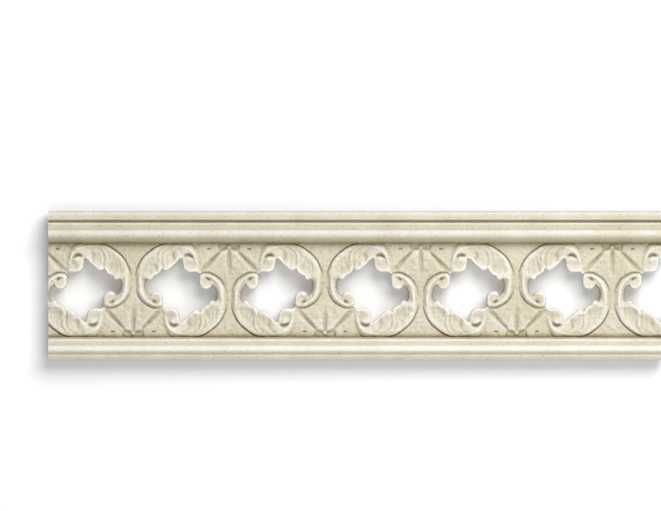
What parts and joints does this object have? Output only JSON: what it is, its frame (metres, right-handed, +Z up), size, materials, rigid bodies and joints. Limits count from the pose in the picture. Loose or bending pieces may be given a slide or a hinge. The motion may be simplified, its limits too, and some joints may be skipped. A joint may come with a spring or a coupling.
{
  "type": "pierced frieze moulding",
  "caption": "Long openwork frieze moulding: scrolls with leaves around openings and palmettes between two moulded rails, flat back, cast in cream polyurethane.",
  "frame": {"origin": "on the flat back at mid height, under the palmette at the lower rail that is nearest the middle of the length", "axes": "+X along the moulding, +Y into the wall, +Z up; the relief faces -Y"},
  "size_m": [0.62, 0.025, 0.15],
  "materials": {
    "cast_polyurethane": "matt cream with a brown antique glaze wiped into the recesses"
  },
  "bodies": {
    "root": {"pierced_moulding": "cast_polyurethane"}
  },
  "joints": []
}
